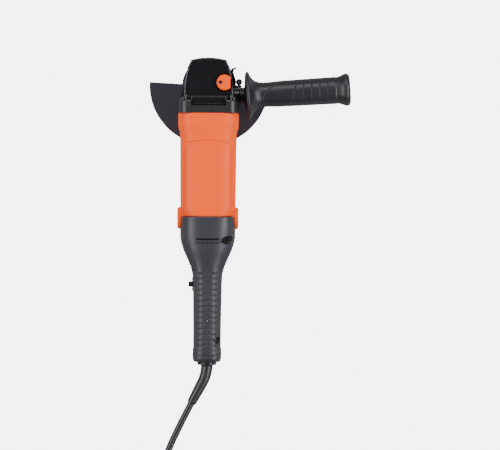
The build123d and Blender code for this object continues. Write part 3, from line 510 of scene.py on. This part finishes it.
# %% [markdown]
# The spindle lock is a D-shaped orange button on top of the gear case.  It is a polar grid: rings
# from the rim to the middle, whose height crowns gently and drops into the small dimple.

# %% Spindle lock button
LOCK_X, LOCK_Y = 18.1, 1.8
LOCK_TOP = 30.8
LOCK_RADIUS, LOCK_FLAT = 9.0, 6.9


def lock_grid(rows=60, columns=120):
    """Rings of a D: a circle cut by a line on its right, rounded where the two meet."""
    angle = np.linspace(0, 2 * np.pi, columns, endpoint=False)[None, :]
    cut = LOCK_FLAT / np.maximum(np.cos(angle), 1e-3)
    reach = -np.log(np.exp(-LOCK_RADIUS * 4.0) + np.exp(-np.minimum(cut, 60) * 4.0)) / 4.0
    share = np.concatenate([np.full(4, 1.0), np.linspace(1.0, 0.012, rows - 4)])[:, None]
    x, y = reach * share * np.cos(angle), reach * share * np.sin(angle)
    drop = np.concatenate([[5.4, 3.6, 1.9, 1.0], np.zeros(rows - 4)])[:, None]
    crown = 0.9 * ease((share - 0.86) / 0.14) ** 2 + 0.25 * share**2
    hole = 0.8 * ease((2.3 - np.hypot(x + 4.6, y - 0.2)) / 0.5 + 0.5)
    z = LOCK_TOP - drop - crown * (drop < 0.5) - hole
    return np.stack([LOCK_X + x, LOCK_Y + y, z + 0 * x], axis=-1)


lock = piece("lock_button_skin", *closed_grid(lock_grid()), body="spindle_lock", slot="button_orange")
DOT_PROFILE = [(25.6, 1.9), (30.0, 1.9), (30.4, 1.8), (30.7, 1.5), (30.8, 0.9), (30.8, 0.2)]
piece("lock_button_pin", *closed_grid(spun((LOCK_X - 4.6, LOCK_Y + 0.2, 0), (0, 0, 1), DOT_PROFILE, 40)),
      body="spindle_lock", slot="steel")
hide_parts("spindle_lock_button")


# %% [markdown]
# Castings like the gear case carry a fine raised bead along the top edge, where the two halves of
# the mould met.  The bead is a thin round bar along a line of points, as is the ridge across the
# tab that hooks over the collar.  The edge beads are painted a lighter grey than the case, with
# scuffs of wear, as a painted highlight along the edge; the tab's ridge takes the collar's lighter
# paint as a painted highlight across the tab.

# %% Beads on the gear case
def bead_grid(line, radius, columns=14, steps=26):
    """Circles square to a line in the level plane, carried along it with small rounded ends."""
    line = np.asarray(line, dtype=float)
    far = np.concatenate([[0], np.cumsum(np.linalg.norm(np.diff(line, axis=0), axis=1))])
    at = np.unique(np.concatenate([np.linspace(0, far[-1], steps * 6), far[-1] * np.array([0.002, 0.998])]))
    spots = np.stack([np.interp(at, far, line[:, k]) for k in range(3)], axis=-1)
    way = np.gradient(spots, axis=0)
    way /= np.linalg.norm(way, axis=1, keepdims=True)
    side = np.cross(way, [0.0, 0.0, 1.0])
    size = radius * np.sqrt(np.clip(np.minimum(at, far[-1] - at) / radius, 0.05, 1))[:, None, None]
    angle = np.linspace(0, 2 * np.pi, columns, endpoint=False)[None, :, None]
    up = np.array([0.0, 0.0, 1.0])
    return spots[:, None, :] + size * (np.cos(angle) * side[:, None, :] + np.sin(angle) * up)


nose = np.linspace(-1, 1, 25)
BEAD_HEIGHT = 25.8
LEFT_EDGE = [(-27.2, -17.5, BEAD_HEIGHT), (-27.1, -12, BEAD_HEIGHT), (-26.9, 0, BEAD_HEIGHT),
             (-23.2, 18.4, BEAD_HEIGHT), (-19.8, 25.9, BEAD_HEIGHT)]
NOSE_EDGE = np.column_stack([18.6 * nose, 26.9 + 2.3 * (1 - nose**2), np.full(25, BEAD_HEIGHT)])
RIGHT_EDGE = [(19.8, 25.9, BEAD_HEIGHT), (23.2, 18.4, BEAD_HEIGHT), (25.9, 5.0, BEAD_HEIGHT)]
EDGE_LINE = np.vstack([LEFT_EDGE, NOSE_EDGE, RIGHT_EDGE])
BESIDE_LOCK = [(27.0, -5.5, BEAD_HEIGHT), (27.1, -12, BEAD_HEIGHT), (27.2, -17.5, BEAD_HEIGHT)]
FRONT_RIDGE = [(-10.5, 26.1, 25.9), (0, 26.7, 25.9), (10.5, 26.1, 25.9)]
TAB_RIDGE = [(-18.0, -22.6, 27.6), (18.8, -22.6, 27.6)]
for name, line, radius in (("case_edge_bead", EDGE_LINE, 0.5), ("case_right_bead", BESIDE_LOCK, 0.5),
                           ("case_front_ridge", FRONT_RIDGE, 0.3), ("tab_ridge", TAB_RIDGE, 0.5)):
    piece(name, *closed_grid(bead_grid(line, radius)), slot="case_paint")

# %% [markdown]
# The two brush caps are orange screw plugs with rounded rims and a slot for a coin.

# %% Brush caps
def cap_points(side):
    """Turned cap with a rounded rim; the slot is pressed into its face."""
    profile = [(26.0, 12.0), (26.5, 12.6), (29.0, 12.75), (31.6, 12.75), (33.0, 12.6), (34.0, 12.1),
               (34.6, 11.4),
               (34.95, 10.5), (35.0, 10.0)] + [(35.0, r) for r in np.linspace(9.6, 0.2, 26)]
    grid = spun((0.0, -152.6, 0.0), (side, 0, 0), profile, 96)
    deep = band(grid[..., 2], -1.1, 1.1, 0.4) * band(grid[..., 1] + 152.6, -8.0, 8.0, 0.6)
    face = np.abs(grid[..., 0]) > 34.9
    grid[..., 0] -= side * 1.1 * deep * face
    return closed_grid(grid)


caps = [cap_points(side) for side in (-1, 1)]
for name, (points, faces) in zip(("brush_cap_left", "brush_cap_right"), caps):
    cap = piece(name, points, faces, slot="orange_shell")
    if name.endswith("right"):
        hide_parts("brush_caps")

# %% [markdown]
# ## Finishes
# Two effects are shared, each a node group with its own inputs.  Grain is the fine texture that a
# mould or a cast leaves; wear is a scatter of pale scuffs and soft smudges.  They give only values
# that change over the surface; the shader itself stays in each material.

# %% Shared effects
def new_group(name, inputs, outputs):
    """An empty node group with named sockets, and its two end nodes."""
    group = bpy.data.node_groups.new(name, "ShaderNodeTree")
    for label, kind, value in inputs:
        socket = group.interface.new_socket(name=label, in_out="INPUT", socket_type=kind)
        if value is not None:
            socket.default_value = value
    for label, kind in outputs:
        group.interface.new_socket(name=label, in_out="OUTPUT", socket_type=kind)
    return group, group.nodes.new("NodeGroupInput"), group.nodes.new("NodeGroupOutput")


def node(tree, kind, **settings):
    """A node with its properties, and its unlinked inputs given as in_NAME or in_NUMBER."""
    made = tree.nodes.new(kind)
    for key, value in settings.items():
        if key.startswith("in_"):
            label = key[3:].replace("_", " ")
            made.inputs[int(label) if label.isdigit() else label].default_value = value
        else:
            setattr(made, key, value)
    return made


def grain_group():
    """Fine height: two sizes of noise added, on the object's own coordinates."""
    group, source, sink = new_group(
        "mould_grain",
        [("Size", "NodeSocketFloat", 2200.0), ("Mottle", "NodeSocketFloat", 0.3)],
        [("Height", "NodeSocketFloat"), ("Mask", "NodeSocketFloat")])
    link = group.links.new
    where = node(group, "ShaderNodeTexCoord")
    fine = node(group, "ShaderNodeTexNoise", in_Detail=2.0, in_Roughness=0.55)
    broad = node(group, "ShaderNodeTexNoise", in_Scale=55.0, in_Detail=3.0)
    link(where.outputs["Object"], fine.inputs["Vector"])
    link(where.outputs["Object"], broad.inputs["Vector"])
    link(source.outputs["Size"], fine.inputs["Scale"])
    blend = node(group, "ShaderNodeMix", data_type="FLOAT")
    link(source.outputs["Mottle"], blend.inputs["Factor"])
    link(fine.outputs["Fac"], blend.inputs["A"])
    link(broad.outputs["Fac"], blend.inputs["B"])
    link(blend.outputs["Result"], sink.inputs["Height"])
    link(broad.outputs["Fac"], sink.inputs["Mask"])
    return group


def wear_group():
    """Colour and roughness with thin scuffs: stretched noise cut to a narrow band near its middle."""
    group, source, sink = new_group(
        "handling_wear",
        [("Colour", "NodeSocketColor", None), ("Scuff Colour", "NodeSocketColor", None),
         ("Amount", "NodeSocketFloat", 0.3),
         ("Roughness", "NodeSocketFloat", 0.4), ("Spread", "NodeSocketFloat", 0.1)],
        [("Colour", "NodeSocketColor"), ("Roughness", "NodeSocketFloat"), ("Mask", "NodeSocketFloat")])
    link = group.links.new
    where = node(group, "ShaderNodeTexCoord")
    stretch = node(group, "ShaderNodeMapping", in_Scale=(1.0, 0.22, 1.0), in_Rotation=(0.0, 0.0, 0.5))
    link(where.outputs["Object"], stretch.inputs["Vector"])
    lines = node(group, "ShaderNodeTexNoise", in_Scale=420.0, in_Detail=6.0, in_Roughness=0.7)
    link(stretch.outputs["Vector"], lines.inputs["Vector"])
    thin = node(group, "ShaderNodeMapRange", in_1=0.665, in_2=0.72)
    link(lines.outputs["Fac"], thin.inputs["Value"])
    patches = node(group, "ShaderNodeTexNoise", in_Scale=26.0, in_Detail=2.0)
    link(where.outputs["Object"], patches.inputs["Vector"])
    where_worn = node(group, "ShaderNodeMapRange", in_1=0.45, in_2=0.7)
    link(patches.outputs["Fac"], where_worn.inputs["Value"])
    both = node(group, "ShaderNodeMath", operation="MULTIPLY")
    link(thin.outputs["Result"], both.inputs[0])
    link(where_worn.outputs["Result"], both.inputs[1])
    amount = node(group, "ShaderNodeMath", operation="MULTIPLY", use_clamp=True)
    link(both.outputs[0], amount.inputs[0])
    link(source.outputs["Amount"], amount.inputs[1])
    colour = node(group, "ShaderNodeMix", data_type="RGBA")
    link(amount.outputs[0], colour.inputs["Factor"])
    link(source.outputs["Colour"], colour.inputs["A"])
    link(source.outputs["Scuff Colour"], colour.inputs["B"])
    smudge = node(group, "ShaderNodeTexNoise", in_Scale=38.0, in_Detail=4.0, in_Roughness=0.6)
    link(where.outputs["Object"], smudge.inputs["Vector"])
    centred = node(group, "ShaderNodeMath", operation="SUBTRACT", in_1=0.5)
    link(smudge.outputs["Fac"], centred.inputs[0])
    rough = node(group, "ShaderNodeMath", operation="MULTIPLY_ADD", use_clamp=True)
    link(centred.outputs[0], rough.inputs[0])
    link(source.outputs["Spread"], rough.inputs[1])
    link(source.outputs["Roughness"], rough.inputs[2])
    link(colour.outputs["Result"], sink.inputs["Colour"])
    link(rough.outputs[0], sink.inputs["Roughness"])
    link(amount.outputs[0], sink.inputs["Mask"])
    return group


GRAIN, WEAR = grain_group(), wear_group()


# %% Finish maker
def finish(name, colour, roughness, scuff, amount, grain, depth, metallic=0.0, spread=0.12, rounding=0.0,
           **constants):
    """A material: worn colour and roughness, grain as bump, painted shade in grooves from the stored groove
    depth, and the shader's own constants.
    """
    material = bpy.data.materials.new(name)
    material.use_nodes = True
    tree = material.node_tree
    link = tree.links.new
    shader = tree.nodes["Principled BSDF"]
    shader.inputs["Metallic"].default_value = metallic
    for key, value in constants.items():
        shader.inputs[key.replace("_", " ")].default_value = value
    worn = node(tree, "ShaderNodeGroup", node_tree=WEAR, in_Colour=(*colour, 1), in_Amount=amount,
                in_Roughness=roughness, in_Spread=spread)
    worn.inputs["Scuff Colour"].default_value = (*scuff, 1)
    texture = node(tree, "ShaderNodeGroup", node_tree=GRAIN, in_Size=grain)
    bump = node(tree, "ShaderNodeBump", in_Strength=1.0, in_Distance=depth)
    # Painted shade: the stored groove depth darkens the colour to 0.12 of itself and dulls the gloss, in
    # place of the shade that falls in grooves and wells.
    groove = node(tree, "ShaderNodeAttribute", attribute_name="groove_shade")
    painted_shade = node(tree, "ShaderNodeMix", data_type="RGBA")
    painted_shade.inputs["B"].default_value = (*(0.12 * channel for channel in colour), 1)
    dull = node(tree, "ShaderNodeMix", data_type="FLOAT", in_B=0.85)
    link(groove.outputs["Fac"], painted_shade.inputs["Factor"])
    link(groove.outputs["Fac"], dull.inputs["Factor"])
    link(worn.outputs["Colour"], painted_shade.inputs["A"])
    link(worn.outputs["Roughness"], dull.inputs["A"])
    link(painted_shade.outputs["Result"], shader.inputs["Base Color"])
    link(dull.outputs["Result"], shader.inputs["Roughness"])
    link(texture.outputs["Height"], bump.inputs["Height"])
    if rounding:
        soft = node(tree, "ShaderNodeBevel", samples=4, in_Radius=rounding)
        link(soft.outputs["Normal"], bump.inputs["Normal"])
    link(bump.outputs["Normal"], shader.inputs["Normal"])
    return material


ORANGE = finish("orange_nylon", (1.0, 0.088, 0.0), 0.42, (1.0, 0.13, 0.01), 0.35, 2600.0, 0.00002,
                spread=0.14,
                Specular_IOR_Level=0.16)
BUTTON = finish("button_orange", (0.93, 0.085, 0.0), 0.36, (1.0, 0.13, 0.01), 0.3, 3000.0, 0.00001,
                rounding=0.0003,
                Specular_IOR_Level=0.2)
GREY_GRIP = finish("grip_grey", (0.026, 0.0245, 0.033), 0.46, (0.045, 0.043, 0.05), 0.4, 2400.0, 0.000008,
                   spread=0.2)
BLACK_NYLON = finish("black_nylon", (0.0095, 0.009, 0.013), 0.42, (0.03, 0.03, 0.033), 0.35, 2400.0, 0.000003,
                     rounding=0.0004, spread=0.2)
CASE_PAINT = finish("case_paint", (0.005, 0.005, 0.0065), 0.27, (0.02, 0.02, 0.024), 0.3, 1700.0, 0.000003,
                    rounding=0.0014, spread=0.16)
# Lighter grey than the case paint: a painted highlight along the edge beads, with scuffs of wear.
EDGE_HIGHLIGHT_PAINT = finish("edge_wear_and_painted_highlight", (0.06, 0.06, 0.066), 0.34, (0.12, 0.12, 0.13), 0.5, 1700.0, 0.00001)
PLATE_PAINT = finish("plate_paint", (0.013, 0.0125, 0.0145), 0.42, (0.05, 0.05, 0.055), 0.35, 1800.0,
                     0.000005,
                     rounding=0.0009, spread=0.18)
GUARD_PAINT = finish("guard_paint", (0.028, 0.0275, 0.038), 0.4, (0.06, 0.06, 0.07), 0.5, 1500.0, 0.000004,
                     rounding=0.0005, spread=0.2)
RUBBER = finish("lead_rubber", (0.016, 0.016, 0.017), 0.38, (0.07, 0.07, 0.07), 0.3, 1800.0, 0.00003,
                spread=0.2)
STEEL = finish("ground_steel", (0.5, 0.49, 0.47), 0.28, (0.62, 0.61, 0.6), 0.6, 2200.0, 0.00001, metallic=1.0,
               rounding=0.0003)
DARK_STEEL = finish("blackened_steel", (0.16, 0.155, 0.15), 0.36, (0.5, 0.49, 0.47), 0.7, 2200.0, 0.00001,
                    metallic=1.0, rounding=0.0003)
ZINC = finish("zinc_plate", (0.66, 0.67, 0.68), 0.3, (0.8, 0.8, 0.8), 0.4, 2600.0, 0.00001, metallic=1.0,
              rounding=0.0003)
YELLOW_ZINC = finish("yellow_zinc", (0.72, 0.55, 0.26), 0.3, (0.85, 0.75, 0.5), 0.4, 2600.0, 0.00001,
                     metallic=1.0,
                     rounding=0.0002)
COPPER = finish("copper", (0.72, 0.3, 0.14), 0.32, (0.8, 0.5, 0.35), 0.4, 1800.0, 0.00004, metallic=1.0)
LAMINATION = finish("laminations", (0.2, 0.2, 0.21), 0.45, (0.35, 0.3, 0.26), 0.6, 1500.0, 0.00005,
                    metallic=1.0)
BRASS = finish("brass", (0.78, 0.58, 0.27), 0.3, (0.85, 0.7, 0.45), 0.4, 2200.0, 0.00001, metallic=1.0,
               rounding=0.0002)
FELT = finish("felt", (0.42, 0.4, 0.35), 0.95, (0.55, 0.53, 0.48), 0.6, 900.0, 0.0002)
YELLOW_BLOCK = finish("capacitor_block", (0.72, 0.5, 0.1), 0.35, (0.85, 0.7, 0.4), 0.3, 2200.0, 0.00002)
CARBON = finish("carbon", (0.02, 0.02, 0.02), 0.7, (0.06, 0.06, 0.06), 0.3, 1800.0, 0.00002,
                Specular_IOR_Level=0.1)

FINISHES = {
    "case_paint": CASE_PAINT, "plate_paint": PLATE_PAINT, "guard_paint": GUARD_PAINT, "orange_shell": ORANGE,
    "button_orange": BUTTON, "grip_plastic": GREY_GRIP, "handle_plastic": BLACK_NYLON, "rubber_black": RUBBER,
    "tie_black": BLACK_NYLON, "steel": STEEL, "flange_steel": DARK_STEEL, "screw_zinc": ZINC,
    "clamp_zinc": YELLOW_ZINC, "lever_paint": CASE_PAINT, "bronze": BRASS, "copper": COPPER,
    "lamination": LAMINATION, "brass": BRASS, "pin_nickel": ZINC, "carbon": CARBON, "felt": FELT,
    "inner_plastic": BLACK_NYLON, "capacitor_yellow": YELLOW_BLOCK,
}

# %% [markdown]
# Every designed piece has a slot in the record that names its finish, so one loop dresses them all.
# The new pieces are dressed one by one.

# %% Dress the pieces
slots = {part["node"]: part["material_slot"] for part in record["subparts"]}
for name, shown in frame["nodes"].items():
    for slot in shown.material_slots:
        slot.link = "OBJECT"
        slot.material = FINISHES[slots[name]]
for slot in frame["nodes"]["case_screws"].material_slots:
    slot.material = CASE_PAINT
for slot in frame["nodes"]["handle_screws"].material_slots:
    slot.material = DARK_STEEL

NEW_FINISHES = {
    # The edge beads get the lighter grey as a painted highlight; the tab ridge takes the collar's lighter
    # paint as a painted highlight.
    "case_edge_bead": EDGE_HIGHLIGHT_PAINT, "case_right_bead": EDGE_HIGHLIGHT_PAINT, "case_front_ridge": CASE_PAINT,
    "tab_ridge": PLATE_PAINT,
    "motor_housing_skin": ORANGE, "handle_left_skin": GREY_GRIP, "handle_right_skin": GREY_GRIP,
    "side_grille_left": BLACK_NYLON, "side_grille_right": BLACK_NYLON, "side_handle_skin": BLACK_NYLON,
    "lock_button_pin": CARBON, "strain_relief": RUBBER, "mains_lead": RUBBER, "lock_button_skin": BUTTON,
    "brush_cap_left": ORANGE,
    "brush_cap_right": ORANGE,
}
for name, made in NEW_FINISHES.items():
    bpy.data.objects[name].data.materials.append(made)

# %% [markdown]
# ## Studio
# A pale sweep of floor, an even bright surround, and two long soft lights, one each side of the
# tool, whose reflections run as two bands down the glossy mouldings with a darker middle.

# %% Studio
FLOOR_GLOW = 6.0
SKY_GLOW = 0.1


def soft_light(name, at, aim, size, power):
    """Rectangular light at a place in the tool's millimetres, facing another."""
    data = bpy.data.lights.new(name, "AREA")
    data.shape = "RECTANGLE"
    data.size, data.size_y = size
    data.energy = power
    made = bpy.data.objects.new(name, data)
    bpy.context.scene.collection.objects.link(made)
    spot, target = place(at), place(aim)
    back = (spot - target) / np.linalg.norm(spot - target)
    side = np.cross(AHEAD, back)
    side /= np.linalg.norm(side)
    turned = np.eye(4)
    turned[:3, :3] = np.column_stack([side, np.cross(back, side), back])
    turned[:3, 3] = spot
    made.matrix_world = Matrix(turned.tolist())
    return made


def floor(half=6.0):
    """A large square at the height of the floor."""
    mesh = bpy.data.meshes.new("floor")
    corners = [(-half, -half, 0), (half, -half, 0), (half, half, 0), (-half, half, 0)]
    mesh.from_pydata(corners, [], [(0, 1, 2, 3)])
    made = bpy.data.objects.new("floor", mesh)
    bpy.context.scene.collection.objects.link(made)
    paper = bpy.data.materials.new("paper")
    paper.use_nodes = True
    tree = paper.node_tree
    shader = tree.nodes["Principled BSDF"]
    shader.inputs["Base Color"].default_value = (0.35, 0.35, 0.36, 1)
    shader.inputs["Roughness"].default_value = 0.9
    lit = node(tree, "ShaderNodeEmission", in_Strength=FLOOR_GLOW)
    seen = node(tree, "ShaderNodeLightPath")
    mix = node(tree, "ShaderNodeMixShader")
    tree.links.new(seen.outputs["Is Camera Ray"], mix.inputs[0])
    tree.links.new(shader.outputs[0], mix.inputs[1])
    tree.links.new(lit.outputs[0], mix.inputs[2])
    tree.links.new(mix.outputs[0], tree.nodes["Material Output"].inputs[0])
    mesh.materials.append(paper)


floor()
soft_light("left_bank", (-640, -140, 560), (0, -140, 0), (0.3, 1.3), 10)
soft_light("right_bank", (680, -140, 600), (0, -140, 0), (0.3, 1.3), 13)
soft_light("front_bank", (60, 900, 620), (0, -50, 0), (0.9, 0.35), 6)
world = bpy.data.worlds.new("studio")
world.use_nodes = True
world.node_tree.nodes["Background"].inputs["Color"].default_value = (1, 1, 1, 1)
world.node_tree.nodes["Background"].inputs["Strength"].default_value = SKY_GLOW
bpy.context.scene.world = world
